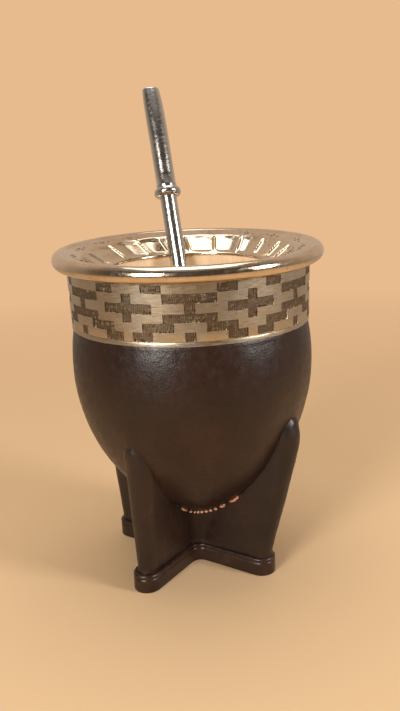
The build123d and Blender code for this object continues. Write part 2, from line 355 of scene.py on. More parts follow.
@dataclass(frozen=True)
class MetalFinish:
    """Hand-polished nickel silver with faint waves, pits and fine scratches."""

    name: str
    tone: Color
    stain: Color
    gloss: float = 0.16
    wave_depth: float = 0.05
    pits: float = 0.5

    def make(self) -> bpy.types.Material:
        """Builds the material."""
        shader = Shader(self.name)
        clouds = shader.noise(70, detail=4, rough=0.6)
        scratches = shader.noise(900, detail=3, at=shader.stretched((1.0, 0.12, 1.0)))
        specks = shader.band(shader.noise(650, detail=2), 0.66, 0.74, 0.0, self.pits)
        tone = shader.mix(shader.band(clouds, 0.4, 0.75), self.tone, self.stain)
        tone = shader.mix(specks, tone, (0.12, 0.07, 0.04, 1.0))
        low = shader.bump(shader.noise(110, detail=2), self.wave_depth)
        normal = shader.bump(scratches, 0.004, low)
        gloss = shader.band(scratches, 0.3, 0.75, self.gloss * 0.7, self.gloss * 1.5)
        return shader.dress(Base_Color=tone, Metallic=1.0, Roughness=gloss, Normal=normal)


@dataclass(frozen=True)
class ChasedMetalFinish:
    """Brushed nickel silver whose sunk ground is dark between the chisel strokes: partly the ground's own dark finish,
    partly painted shade that is deepest where the strokes dip.
    """

    name: str
    tone: Color
    brass: Color
    ground: Color
    gloss: float = 0.34

    def make(self) -> bpy.types.Material:
        """Builds the material, which reads from the mesh how dark each sunk place is painted, painted shade included.
        """
        shader = Shader(self.name)
        sunk = shader.attribute("sunk")
        clouds = shader.noise(85, detail=4, rough=0.6)
        brushing = shader.noise(1500, detail=3, at=shader.stretched((0.25, 0.25, 3.0)))
        grime_and_shade_mottle = shader.noise(520, detail=4, rough=0.7)
        tone = shader.mix(shader.band(clouds, 0.38, 0.66), self.tone, self.brass)
        # Darkens the sunk ground towards the ground colour: its own dark finish plus painted shade that follows the
        # depth stored on the mesh, mottled a little.
        dark = shader.sum("MULTIPLY", shader.band(sunk, 0.15, 0.9), shader.band(grime_and_shade_mottle, 0.2, 0.6, 0.72, 1.0))
        tone = shader.mix(dark, tone, self.ground)
        normal = shader.bump(brushing, 0.012)
        gloss = shader.band(brushing, 0.3, 0.7, self.gloss - 0.08, self.gloss + 0.1)
        return shader.dress(Base_Color=tone, Metallic=1.0, Roughness=gloss, Normal=normal)


@dataclass(frozen=True)
class GourdFinish:
    """Dry pale gourd with faint fibres and specks."""

    name: str
    pale: Color
    tan: Color

    def make(self) -> bpy.types.Material:
        """Builds the material."""
        shader = Shader(self.name)
        fibres = shader.noise(320, detail=5, rough=0.65, at=shader.stretched((1.0, 1.0, 0.25)))
        specks = shader.band(shader.noise(900, detail=2), 0.68, 0.76, 0.0, 0.6)
        tone = shader.mix(shader.band(fibres, 0.35, 0.7), self.pale, self.tan)
        tone = shader.mix(specks, tone, (0.25, 0.12, 0.05, 1.0))
        normal = shader.bump(fibres, 0.12)
        return shader.dress(Base_Color=tone, Roughness=0.72, Normal=normal)


@dataclass(frozen=True)
class ThreadFinish:
    """Waxed sewing thread with fine twisted strands."""

    name: str
    tone: Color
    worn: Color

    def make(self) -> bpy.types.Material:
        """Builds the material."""
        shader = Shader(self.name)
        strands = shader.noise(2300, detail=2, at=shader.stretched((1.0, 1.0, 0.35)))
        tone = shader.mix(shader.band(strands, 0.35, 0.65), self.tone, self.worn)
        normal = shader.bump(strands, 0.08)
        return shader.dress(Base_Color=tone, Roughness=0.45, Normal=normal)


@dataclass(frozen=True)
class HoleShadeFinish:
    """Painted shade for a stitch hole: a near-black colour, rough and only a little mottled, in place of the shade
    inside the hole.
    """

    name: str

    def make(self) -> bpy.types.Material:
        """Builds the material."""
        shader = Shader(self.name)
        grain = shader.noise(1500, detail=2)
        tone = shader.mix(grain, (0.003, 0.002, 0.002, 1.0), (0.012, 0.007, 0.005, 1.0))
        return shader.dress(Base_Color=tone, Roughness=0.9)


LEATHER = LeatherFinish(
    "cover_leather",
    dark=(0.0115, 0.0040, 0.0023, 1),
    light=(0.024, 0.0086, 0.0046, 1),
    rubbed=(0.06, 0.031, 0.021, 1),
)
STAND_LEATHER = LeatherFinish(
    "stand_leather",
    dark=(0.0095, 0.0043, 0.003, 1),
    light=(0.022, 0.0092, 0.0056, 1),
    rubbed=(0.085, 0.036, 0.021, 1),
    grain_size=0.9,
    grain_depth=0.035,
    gloss=0.4,
    rub_amount=0.5,
)
SOLE_LEATHER = LeatherFinish(
    "sole_leather",
    dark=(0.0105, 0.0048, 0.0034, 1),
    light=(0.025, 0.0104, 0.0066, 1),
    rubbed=(0.1, 0.04, 0.02, 1),
    grain_size=1.1,
    grain_depth=0.03,
    gloss=0.33,
    rub_amount=0.5,
)
LIP_METAL = MetalFinish("lip_metal", tone=(0.77, 0.64, 0.49, 1), stain=(0.60, 0.45, 0.31, 1))
STRAW_METAL = MetalFinish(
    "straw_metal", tone=(0.62, 0.60, 0.57, 1), stain=(0.56, 0.51, 0.45, 1), gloss=0.2, pits=0.15
)
ENGRAVED_METAL = MetalFinish(
    "engraved_metal", tone=(0.22, 0.15, 0.10, 1), stain=(0.30, 0.21, 0.14, 1), gloss=0.4
)
# The ground colour is the sunk ground's own dark finish together with painted shade in its hollows.
COLLAR_METAL = ChasedMetalFinish(
    "collar_metal", tone=(0.53, 0.47, 0.38, 1), brass=(0.50, 0.40, 0.28, 1), ground=(0.15, 0.105, 0.065, 1)
)
GOURD = GourdFinish("gourd_wall", pale=(0.92, 0.72, 0.47, 1), tan=(0.82, 0.58, 0.34, 1))
THREAD = ThreadFinish("sewing_thread", tone=(0.36, 0.15, 0.07, 1), worn=(0.62, 0.34, 0.19, 1))
# Painted shade that stands in for the dark inside of each stitch hole.
HOLE_SHADE = HoleShadeFinish("stitch_hole_shade")


@dataclass(frozen=True)
class Tilt:
    """How far the lip is out of level. It turns about the middle of its bead."""

    degrees: float = 1.5
    azimuth: float = -55.0
    height: float = 120.25

    def turned(self, spot: Vector) -> Vector:
        """A point in metres, moved with the tilted lip."""
        centre = Vector((0, 0, self.height * MM))
        axis = polar(1.0, self.azimuth + 90.0, 0.0).normalized()
        return centre + Matrix.Rotation(math.radians(self.degrees), 3, axis) @ (spot - centre)

    def drop(self, radius: float, azimuth: float) -> float:
        """How far a level place sinks with the tilt, in millimetres."""
        return radius * math.tan(math.radians(self.degrees)) * math.cos(math.radians(azimuth - self.azimuth))


# ---------------------------------------------------------------- the gourd's ball


@dataclass
class Ball:
    """The leather ball's outline: a tight round bottom, a long belly curve and a shoulder."""

    belly_radius: float = 44.7
    belly_height: float = 81.0
    belly_curve: float = 68.0
    bottom_curve: float = 22.0
    shoulder_curve: float = 71.0
    collar_bottom: float = 95.5

    @property
    def bottom_centre(self) -> float:
        """Height of the bottom arc's centre."""
        reach = self.belly_curve - self.bottom_curve
        return self.belly_height - math.sqrt(reach**2 - (self.belly_curve - self.belly_radius) ** 2)

    @property
    def join_angle(self) -> float:
        """Angle below level, in radians, at which the bottom arc meets the belly's."""
        return math.atan2(self.belly_height - self.bottom_centre, self.belly_curve - self.belly_radius)

    def radius(self, height: float) -> float:
        """Outside radius at a height."""
        centre, curve, middle = 0.0, self.bottom_curve, self.bottom_centre
        if height > self.belly_height - self.belly_curve * math.sin(self.join_angle):
            centre, curve, middle = self.belly_radius - self.belly_curve, self.belly_curve, self.belly_height
        if height > self.belly_height:
            centre, curve = self.belly_radius - self.shoulder_curve, self.shoulder_curve
        return centre + math.sqrt(max(curve**2 - (height - middle) ** 2, 0.0))

    def arc(self, centre: tuple[float, float], curve: float, start: float, end: float, steps: int) -> list[tuple[float, float]]:
        """Points (radius, height) along one arc, without its last point."""
        points = []
        for step in range(steps):
            angle = blend(start, end, step / steps)
            points.append((centre[0] + curve * math.cos(angle), centre[1] + curve * math.sin(angle)))
        return points

    def outline(self, inset: float, fine: int = 1) -> list[tuple[float, float]]:
        """The half outline from the bottom pole to the collar, drawn in by an inset.

        Args:
            inset: How far inside the leather's outside, in millimetres.
            fine: How many times finer than the plainest outline.

        Returns:
            Points of (radius, height).
        """
        rise = math.asin((self.collar_bottom - self.belly_height) / (self.shoulder_curve - inset))
        middle = self.belly_height
        points = self.arc((0, self.bottom_centre), self.bottom_curve - inset, -math.pi / 2, -self.join_angle, 8 * fine)
        hub = self.belly_radius - self.belly_curve
        points += self.arc((hub, middle), self.belly_curve - inset, -self.join_angle, 0, 26 * fine)
        hub = self.belly_radius - self.shoulder_curve
        curve = self.shoulder_curve - inset
        points += self.arc((hub, middle), curve, 0, rise, 6 * fine)
        points.append((hub + curve * math.cos(rise), middle + curve * math.sin(rise)))
        points[0] = (0.0, points[0][1])
        return points


@dataclass
class Cover:
    """The leather cover over the ball, with the unevenness of leather shrunk onto a gourd."""

    ball: Ball
    thickness: float = 1.8
    tuck: float = 1.0
    unevenness: float = 0.16
    pucker_depth: float = 0.35
    pucker_size: float = 5.0
    steps: int = 300

    def pucker(self, azimuth: float, height: float) -> float:
        """How far the leather is drawn in beside the top of a fin, in millimetres."""
        nearest = min(abs((azimuth - fin + 180) % 360 - 180) for fin in (0, 90, 180, 270))
        beside = math.radians(nearest) * self.ball.radius(height)
        drop = height - 60.0
        away = ((beside - 7.0) / self.pucker_size) ** 2 + (drop / (2 * self.pucker_size)) ** 2
        return self.pucker_depth * math.exp(-away)

    def build(self) -> bpy.types.Object:
        """Spins the cover's wall and presses its unevenness into the outside."""
        outer = self.ball.outline(0.0, fine=2)
        inner = self.ball.outline(self.thickness)
        top = outer[-1]
        edge = [(top[0] - 0.25, top[1] + 0.3), (top[0] - 0.6, top[1] + self.tuck)]
        edge.append((inner[-1][0], top[1] + self.tuck))
        bm = spun(outer + edge + inner[::-1], self.steps)
        for vert in bm.verts:
            level = Vector((vert.co.x, vert.co.y, 0)) / MM
            height = vert.co.z / MM
            if height > self.ball.collar_bottom - 0.2 or level.length < 1.0:
                continue
            if level.length < self.ball.radius(height) - 0.5 * self.thickness:
                continue
            azimuth = math.degrees(math.atan2(vert.co.y, vert.co.x))
            shift = self.unevenness * uneven(vert.co, 13.0) + 0.35 * self.unevenness * uneven(vert.co, 3.2, 5.0)
            shift -= self.unevenness + self.pucker(azimuth, height)
            vert.co += level.normalized() * shift * MM
        return make_piece(bm, "leather_cover", LEATHER.make(), ["body_leather"])


# ---------------------------------------------------------------- stand and sole


@dataclass(eq=False)
class Stand:
    """The four-finned stand: a cross whose arms taper and whose corners are hollow."""

    ball: Ball
    sole_thickness: float = 7.1
    top: float = 63.0
    foot: tuple[float, float] = (-2.2, -1.5)
    upright_share: float = 0.77
    sink: float = 0.9
    wall: float = 2.4
    welt: float = 0.45
    row_step: float = 0.8
    row_table: list[tuple[float, ...]] = field(
        default_factory=lambda: [
            (0.0, 10.0, 10.7, 3.9, 0.3, 4.0),
            (0.16, 8.2, 9.3, 4.8, 1.2, 7.0),
            (0.34, 6.1, 7.8, 5.8, 2.3, 11.5),
            (0.55, 3.7, 6.1, 7.6, 4.4, 17.0),
            (0.77, 1.3, 4.5, 9.6, 6.6, 20.0),
            (0.89, 0.8, 4.1, 10.4, 7.4, 20.0),
            (1.0, 2.5, 4.3, 10.8, 8.0, 20.0),
        ]
    )
    tip_steps: int = 12
    flank_steps: int = 16
    corner_steps: int = 18

    def values_at(self, share: float) -> list[float]:
        """The row's values at a share of the way up, on a smooth curve through the rows."""
        rows = self.row_table
        place = max(i for i in range(len(rows) - 1) if rows[i][0] <= share + 1e-9)
        before, low = rows[max(place - 1, 0)], rows[place]
        high, after = rows[place + 1], rows[min(place + 2, len(rows) - 1)]
        span = high[0] - low[0]
        t = (share - low[0]) / span
        found = []
        for k in range(1, len(low)):
            slope_in = (high[k] - before[k]) / (high[0] - before[0]) * span
            slope_out = (after[k] - low[k]) / (after[0] - low[0]) * span
            a = (2 * t**3 - 3 * t**2 + 1) * low[k] + (t**3 - 2 * t**2 + t) * slope_in
            found.append(a + (3 * t**2 - 2 * t**3) * high[k] + (t**3 - t**2) * slope_out)
        return found

    def section(self, height: float) -> list[tuple[float, float]]:
        """The cross's outline at a height, as points (x, y) in millimetres."""
        share = max(0.0, min(1.0, (height - self.sole_thickness) / (self.top - self.sole_thickness)))
        inset_x, inset_y, half, taper, corner = self.values_at(share)
        lean = math.radians(taper)
        centre = (corner + half * math.cos(lean)) / (math.sin(lean) + math.cos(lean))
        shift = max(0.0, 1 - share / self.upright_share)
        points = []
        for quarter in range(4):
            here, there = (inset_x, inset_y) if quarter % 2 == 0 else (inset_y, inset_x)
            nose_x, nose = self.nose(self.ball.belly_radius - here, half, lean)
            next_x, next_nose = self.nose(self.ball.belly_radius - there, half, lean)
            arm = []
            opening = math.pi / 2 - lean
            for step in range(self.tip_steps):
                angle = blend(-opening, opening, step / self.tip_steps)
                arm.append((nose_x + nose * math.cos(angle), nose * math.sin(angle)))
            start = (nose_x + nose * math.sin(lean), nose * math.cos(lean))
            valley = (centre - corner * math.sin(lean), centre - corner * math.cos(lean))
            for step in range(self.flank_steps):
                part = step / self.flank_steps
                arm.append((blend(start[0], valley[0], part), blend(start[1], valley[1], part)))
            for step in range(self.corner_steps):
                angle = blend(-math.pi / 2 - lean, -math.pi + lean, step / self.corner_steps)
                arm.append((centre + corner * math.cos(angle), centre + corner * math.sin(angle)))
            end = (next_nose * math.cos(lean), next_x + next_nose * math.sin(lean))
            last = (valley[1], valley[0])
            for step in range(self.flank_steps):
                part = step / self.flank_steps
                arm.append((blend(last[0], end[0], part), blend(last[1], end[1], part)))
            turn = Matrix.Rotation(math.pi / 2 * quarter, 2)
            for x, y in arm:
                spot = turn @ Vector((x, y))
                points.append((spot.x + self.foot[0] * shift, spot.y + self.foot[1] * shift))
        return points

    def nose(self, reach: float, half: float, lean: float) -> tuple[float, float]:
        """Centre and radius of the round tip of an arm."""
        centre = (reach - half * math.cos(lean)) / (1 - math.sin(lean))
        return centre, reach - centre

    @lru_cache(maxsize=None)
    def reach_table(self, height: float) -> list[tuple[float, float]]:
        """The outline at a height as sorted pairs of azimuth and radius."""
        pairs = [(math.degrees(math.atan2(y, x)) % 360, math.hypot(x, y)) for x, y in self.section(height)]
        pairs.sort()
        return [(pairs[-1][0] - 360, pairs[-1][1])] + pairs + [(pairs[0][0] + 360, pairs[0][1])]

    def radius(self, azimuth: float, height: float) -> float:
        """How far out the stand reaches in a direction at a height."""
        azimuth %= 360
        table = self.reach_table(height)
        for (a, low), (b, high) in zip(table, table[1:]):
            if a <= azimuth <= b:
                return blend(low, high, (azimuth - a) / max(b - a, 1e-9))
        return table[0][1]

    def seam_height(self, azimuth: float) -> float:
        """Height at which the ball's surface comes out of the stand in a direction."""
        low, high = 20.0, self.top
        for _ in range(16):
            middle = round((low + high) / 2, 4)
            if self.radius(azimuth, middle) > self.ball.radius(middle):
                low = middle
            else:
                high = middle
        return (low + high) / 2

    def seam_point(self, azimuth: float, lift: float = 0.0) -> Vector:
        """A point on the seam between the ball and the stand, lifted outwards by millimetres."""
        height = self.seam_height(azimuth)
        return polar(self.ball.radius(height) + lift, azimuth, height)

    def outer_row(self, height: float) -> Row:
        """One row of the outside, held just under the ball's leather where it is inside it."""
        share = (height - self.sole_thickness) / (self.top - self.sole_thickness)
        limit = self.ball.radius(height) - self.sink
        flare = 0.55 * math.exp(-((height - self.sole_thickness) / 1.1) ** 2)
        row = []
        for x, y in self.section(height):
            level = Vector((x, y, 0))
            reach = level.length
            spot = Vector((x, y, height)) * MM
            shift = 0.22 * uneven(spot, 9.0, 2.0) + 0.07 * uneven(spot, 2.6, 4.0) + flare
            gap = reach - self.ball.radius(height)
            if 0 < gap:
                shift += self.welt * math.exp(-((gap - 0.5) / 1.1) ** 2) * ease(share, 0.2, 0.5)
            reach = max(reach + shift, limit)
            row.append(level.normalized() * reach * MM + Vector((0, 0, height * MM)))
        return row

    def build(self) -> bpy.types.Object:
        """Lays the outside on its rows, then goes back down inside the ball to a pole."""
        rows = []
        bottom = self.section(self.sole_thickness)
        middle = Vector((self.foot[0], self.foot[1], self.sole_thickness)) * MM
        edge = [Vector((x, y, self.sole_thickness)) * MM for x, y in bottom]
        for share in (0.0, 0.5, 0.9):
            rows.append([middle.lerp(spot, share) for spot in edge])
        count = round((self.top - self.sole_thickness) / self.row_step)
        for step in range(count + 1):
            rows.append(self.outer_row(blend(self.sole_thickness, self.top, step / count)))
        steps = 18
        low = self.ball.bottom_centre - self.ball.bottom_curve + self.wall
        for step in range(1, steps + 1):
            height = blend(self.top - 1.0, low, step / steps)
            inside = max(self.ball.radius(height - 0.6) - self.wall, 0.0)
            inside = 0.0 if step == steps else inside
            rows.append([self.level(spot) * inside * MM + Vector((0, 0, height * MM)) for spot in rows[-1]])
        bm = sheet_on_rows(rows)
        return make_piece(bm, "stand_leather", STAND_LEATHER.make(), ["stand"])

    @staticmethod
    def level(spot: Vector) -> Vector:
        """The level direction from the axis to a point."""
        flat = Vector((spot.x, spot.y, 0))
        return flat.normalized() if flat.length > 1e-9 else Vector((1, 0, 0))


@dataclass
class Sole:
    """The thick cross-shaped sole with round ends, rounded edges and a pressed groove."""

    foot: tuple[float, float] = (-2.2, -1.5)
    thickness: float = 7.1
    reach: float = 36.1
    half_width: float = 5.14
    corner: float = 3.6
    edge: float = 0.9
    groove_height: float = 5.3
    groove_depth: float = 0.22
    end_steps: int = 14
    side_steps: int = 16
    corner_steps: int = 8

    def outline(self) -> list[tuple[float, float]]:
        """The cross's outline as points (x, y) in millimetres round its own middle."""
        points = []
        round_end = self.reach - self.half_width
        inner = self.half_width + self.corner
        for quarter in range(4):
            arm = []
            for step in range(self.end_steps):
                angle = blend(-math.pi / 2, math.pi / 2, step / self.end_steps)
                arm.append((round_end + self.half_width * math.cos(angle), self.half_width * math.sin(angle)))
            for step in range(self.side_steps):
                arm.append((blend(round_end, inner, step / self.side_steps), self.half_width))
            for step in range(self.corner_steps):
                angle = blend(-math.pi / 2, -math.pi, step / self.corner_steps)
                arm.append((inner + self.corner * math.cos(angle), inner + self.corner * math.sin(angle)))
            for step in range(self.side_steps):
                arm.append((self.half_width, blend(inner, round_end, step / self.side_steps)))
            turn = Matrix.Rotation(math.pi / 2 * quarter, 2)
            points += [tuple(turn @ Vector(spot)) for spot in arm]
        return points

    def drawn_in(self, outline: list[tuple[float, float]], inset: float) -> list[tuple[float, float]]:
        """The outline moved inwards along its own normals."""
        moved = []
        for number, (x, y) in enumerate(outline):
            before, after = outline[number - 1], outline[(number + 1) % len(outline)]
            along = Vector((after[0] - before[0], after[1] - before[1])).normalized()
            moved.append((x - along.y * inset, y + along.x * inset))
        return moved

    def build(self) -> bpy.types.Object:
        """Lays the sole's side on rows from the middle of its underside to the middle of its top."""
        outline = self.outline()
        middle = Vector((self.foot[0], self.foot[1], 0))
        levels = []
        for step in range(5):
            angle = math.pi / 2 * step / 4
            levels.append((0.5 * self.edge * (1 - math.sin(angle)), 0.5 * self.edge * (1 - math.cos(angle))))
        for height in (1.6, 2.8, 4.0, 4.8, 5.0, 5.3, 5.6, 5.8):
            press = self.groove_depth * math.exp(-((height - self.groove_height) / 0.25) ** 2)
            levels.append((press, height))
        for step in range(6):
            angle = math.pi / 2 * step / 5
            drop = self.edge * (1 - math.sin(angle))
            levels.append((self.edge * (1 - math.cos(angle)), self.thickness - drop))
        rows = []
        for inset, height in levels:
            row = []
            for x, y in self.drawn_in(outline, inset):
                spot = (Vector((x, y, height)) + middle) * MM
                flat = Vector((x, y, 0)).normalized()
                shift = 0.12 * uneven(spot, 6.0, 8.0) * ease(height, 0.0, 1.5)
                row.append(spot + flat * shift * MM)
            rows.append(row)
        for share in (0.55, 0.0):
            rows.append([(middle + Vector((0, 0, self.thickness))) * MM * (1 - share) + spot * share for spot in rows[len(levels) - 1]])
            rows.insert(0, [middle * MM * (1 - share) + spot * share for spot in rows[0 if share else 1]])
        bm = sheet_on_rows(rows)
        return make_piece(bm, "sole_leather", SOLE_LEATHER.make(), ["sole"], crease=55)


@dataclass
class Seam:
    """Hand stitches along one corner of the stand, with the holes that they go into."""

    stand: Stand
    corner: str
    facing: float
    holes: Sequence[float]
    thread_radius: float = 0.52
    hole_radius: float = 0.85
    spread: float = 34.5

    def azimuth(self, share: float) -> float:
        """The azimuth at a share of the way along the seam."""
        return self.facing - self.spread + 2 * self.spread * share

    def stitch(self, start: float, end: float) -> bmesh.types.BMesh:
        """One stitch: a slightly arched run of thread whose ends dive into the leather."""
        path, radii = [], []
        steps = 9
        for step in range(steps + 1):
            share = step / steps
            arch = math.sin(math.pi * share) ** 0.6
            path.append(self.stand.seam_point(self.azimuth(blend(start, end, share)), blend(-0.4, 0.75, arch)))
            radii.append(self.thread_radius * (0.0 if step in (0, steps) else 0.75 + 0.25 * arch))
        return tube(path, radii, sides=8)

    def hole(self, share: float) -> bmesh.types.BMesh:
        """One stitch hole: a dark dimple of painted shade, drawn out along the seam."""
        here = self.stand.seam_point(self.azimuth(share), 0.28)
        ahead = self.stand.seam_point(self.azimuth(share + 0.01), 0.28) - here
        bm = bmesh.new()
        bmesh.ops.create_icosphere(bm, subdivisions=2, radius=self.hole_radius * MM)
        stretch = Matrix.Diagonal((1.35, 0.8, 0.7, 1.0))
        turn = ahead.to_track_quat("X", "Z").to_matrix().to_4x4()
        bmesh.ops.transform(bm, matrix=Matrix.Translation(here) @ turn @ stretch, verts=bm.verts[:])
        return bm

    def build(self) -> None:
        """Builds the corner's thread and its holes, which are painted as dark shade."""
        gap = 0.014
        stitches = [self.stitch(a + gap, b - gap) for a, b in zip(self.holes, self.holes[1:])]
        node = f"seam_thread_{self.corner}"
        make_piece(joined(stitches), f"stitches_{self.corner}", THREAD.make(), [node])
        # Each hole is a small dark blob that stands in for the shade inside the hole: painted shade.
        hole_shades = [self.hole(share) for share in self.holes]
        make_piece(joined(hole_shades), f"painted_hole_shades_{self.corner}", HOLE_SHADE.make())


# ---------------------------------------------------------------- collar


@dataclass
class Collar:
    """The chased band: stepped crosses and diamonds left smooth or sunk and hatched."""

    tilt: Tilt
    bottom: float = 95.5
    top: float = 119.35
    seat: float = 118.3
    bottom_radius: float = 43.6
    top_radius: float = 44.1
    wall: float = 0.9
    sink: float = 0.34
    wall_slope: float = 0.1
    stroke_depth: float = 0.24
    stroke_pitch: float = 0.52
    repeats: int = 7
    first_cross: float = -28.3
    cell_turn: float = 4.567
    line_height: float = 97.05
    line_depth: float = 0.22
    bands: tuple[float, ...] = (97.35, 100.3, 103.4, 106.3, 109.6, 112.8, 115.7, 119.7)
    cuts: int = 7

    def is_sunk(self, band: int, away: float) -> bool:
        """Whether a cell is sunk.

        Args:
            band: The row of cells, counted from the bottom.
            away: Distance from the middle of the nearest cross, in cells.

        Returns:
            True for the hatched ground.
        """
        if band == 0:
            return 0.5 < away < 2.7 or away > 5.5
        if band == 1:
            return 1.5 < away < 4.2
        if band == 2:
            return away < 0.5 or 3.5 < away
        if band == 3:
            return away < 2.5 or away > 5.4
        if band == 4:
            return away < 0.5 or 3.5 < away
        if band == 5:
            return 1.5 < away < 4.0
        return 0.5 < away < 2.6

    def azimuth(self, column: float) -> float:
        """Azimuth of a place counted in cells, with the hidden back cells a little narrower."""
        whole = 12 * self.repeats
        shown = 30.0
        start = self.first_cross - 21.0 * self.cell_turn
        if column <= shown:
            return start + column * self.cell_turn
        rest = 360.0 - shown * self.cell_turn
        return start + shown * self.cell_turn + (column - shown) * rest / (whole - shown)

    def away(self, column: float) -> float:
        """Distance in cells from the nearest cross's middle."""
        return abs((column - 21.0 + 6) % 12 - 6)

    def stroke(self, column: float, height: float) -> float:
        """Height of the chisel strokes at a place on the sunk ground, in millimetres."""
        rise = height + 0.7 * noise.noise(Vector((column * 0.9, 0, 0)))
        tier = math.floor(rise / 1.45)
        within = (rise / 1.45) % 1.0
        lean = 1.3 * noise.noise(Vector((tier * 3.1, column * 0.45, 4.0)))
        along = column * 3.5 / self.stroke_pitch + tier * 0.37 + lean * (within - 0.5)
        along += 1.5 * noise.noise(Vector((column * 1.6, tier * 1.9, 9.0)))
        ridge = abs((along % 1.0) * 2 - 1)
        strength = 0.75 + 0.5 * noise.noise(Vector((column * 2.3, tier * 2.7, 2.0)))
        return self.stroke_depth * strength * (ridge - 0.5) * (1 - 0.55 * abs(within * 2 - 1))

    def wrap(self, spot: Vector) -> Vector:
        """Bends a flat place (column, height, depth) onto the flared band."""
        share = (spot.y - self.bottom) / (self.top - self.bottom)
        wobble = 0.05 * noise.noise(Vector((spot.x * 0.9, spot.y * 0.3, 1.0)))
        radius = blend(self.bottom_radius, self.top_radius, share) + spot.z
        shift = 0.12 * noise.noise(Vector((spot.x * 0.55, spot.y * 0.45, 6.0)))
        azimuth = self.azimuth(spot.x) + shift
        height = min(spot.y + wobble * 3, self.seat - self.tilt.drop(radius, azimuth))
        return polar(radius, azimuth, height)

    def build(self) -> bpy.types.Object:
        """Chases the flat strip with sunk, hatched cells, wraps it round and gives it its wall."""
        bm = bmesh.new()
        whole = 12 * self.repeats
        heights = [self.bottom, self.bottom + 0.12, 96.7, 96.95, 97.05, 97.15, *self.bands]
        split = 2
        columns = [i / split for i in range(whole * split + 1)]
        shifted = [column + 0.5 for column in columns]
        bmesh.ops.create_grid(bm, x_segments=whole * split, y_segments=len(heights) - 1, size=1.0)
        bm.verts.ensure_lookup_table()
        for number, vert in enumerate(bm.verts):
            line, column = divmod(number, len(shifted))
            height = heights[line]
            press = -self.line_depth * math.exp(-((height - self.line_height) / 0.1) ** 2)
            vert.co = (shifted[column], height, press - (0.12 if line == 0 else 0.0))
        chased = [face for face in bm.faces if self.face_is_sunk(face)]
        edges = list({edge for face in chased for edge in face.edges})
        bmesh.ops.subdivide_edges(bm, edges=edges, cuts=self.cuts, use_grid_fill=True)
        chased = [face for face in bm.faces if self.face_is_sunk(face)]
        bmesh.ops.inset_region(
            bm,
            faces=chased,
            use_boundary=False,
            use_even_offset=True,
            thickness=self.wall_slope / 3.5,
            depth=-self.sink,
        )
        sunk = bm.verts.layers.float.new("sunk")
        for vert in bm.verts:
            if vert.co.z < -0.8 * self.sink and vert.co.y > self.bands[0] - 0.1:
                stroke = self.stroke(vert.co.x, vert.co.y)
                vert.co.z += stroke
                # Stores how dark the ground is painted: darker the deeper the stroke dips, which is painted shade in
                # the troughs on top of the dark ground.
                vert[sunk] = max(0.0, min(1.0, 0.85 - 2.2 * stroke / self.stroke_depth * 0.5))
        for vert in bm.verts:
            depth = vert.co.z
            vert.co.z = 0.0
            vert.co = self.wrap(Vector((vert.co.x, vert.co.y, depth)))
        bmesh.ops.remove_doubles(bm, verts=bm.verts[:], dist=MERGE_DISTANCE)
        bmesh.ops.recalc_face_normals(bm, faces=bm.faces[:])
        self.point_outwards(bm)
        self.add_wall(bm)
        return make_piece(bm, "chased_collar", COLLAR_METAL.make(), ["collar"], crease=32)

    def face_is_sunk(self, face: bmesh.types.BMFace) -> bool:
        """Whether a flat face lies in a sunk cell."""
        middle = face.calc_center_median()
        for band, (low, high) in enumerate(zip(self.bands, self.bands[1:])):
            if low < middle.y < high:
                column = math.floor(middle.x + 0.5)
                return self.is_sunk(band, self.away(column))
        return False

    @staticmethod
    def point_outwards(bm: bmesh.types.BMesh) -> None:
        """Turns the open band's faces away from its axis."""
        bm.faces.ensure_lookup_table()
        face = bm.faces[0]
        middle = face.calc_center_median()
        if face.normal.dot(Vector((middle.x, middle.y, 0))) < 0:
            bmesh.ops.reverse_faces(bm, faces=bm.faces[:])

    def add_wall(self, bm: bmesh.types.BMesh) -> None:
        """Gives the band its back: both rims are extruded inwards and bridged."""
        rims = [edge for edge in bm.edges if edge.is_boundary]
        made = bmesh.ops.extrude_edge_only(bm, edges=rims)
        verts = [item for item in made["geom"] if isinstance(item, bmesh.types.BMVert)]
        inner = [item for item in made["geom"] if isinstance(item, bmesh.types.BMEdge) and item.is_boundary]
        for vert in verts:
            flat = Vector((vert.co.x, vert.co.y, 0))
            vert.co -= flat.normalized() * self.wall * MM
        bmesh.ops.bridge_loops(bm, edges=inner)
        bmesh.ops.recalc_face_normals(bm, faces=bm.faces[:])


# ---------------------------------------------------------------- lip


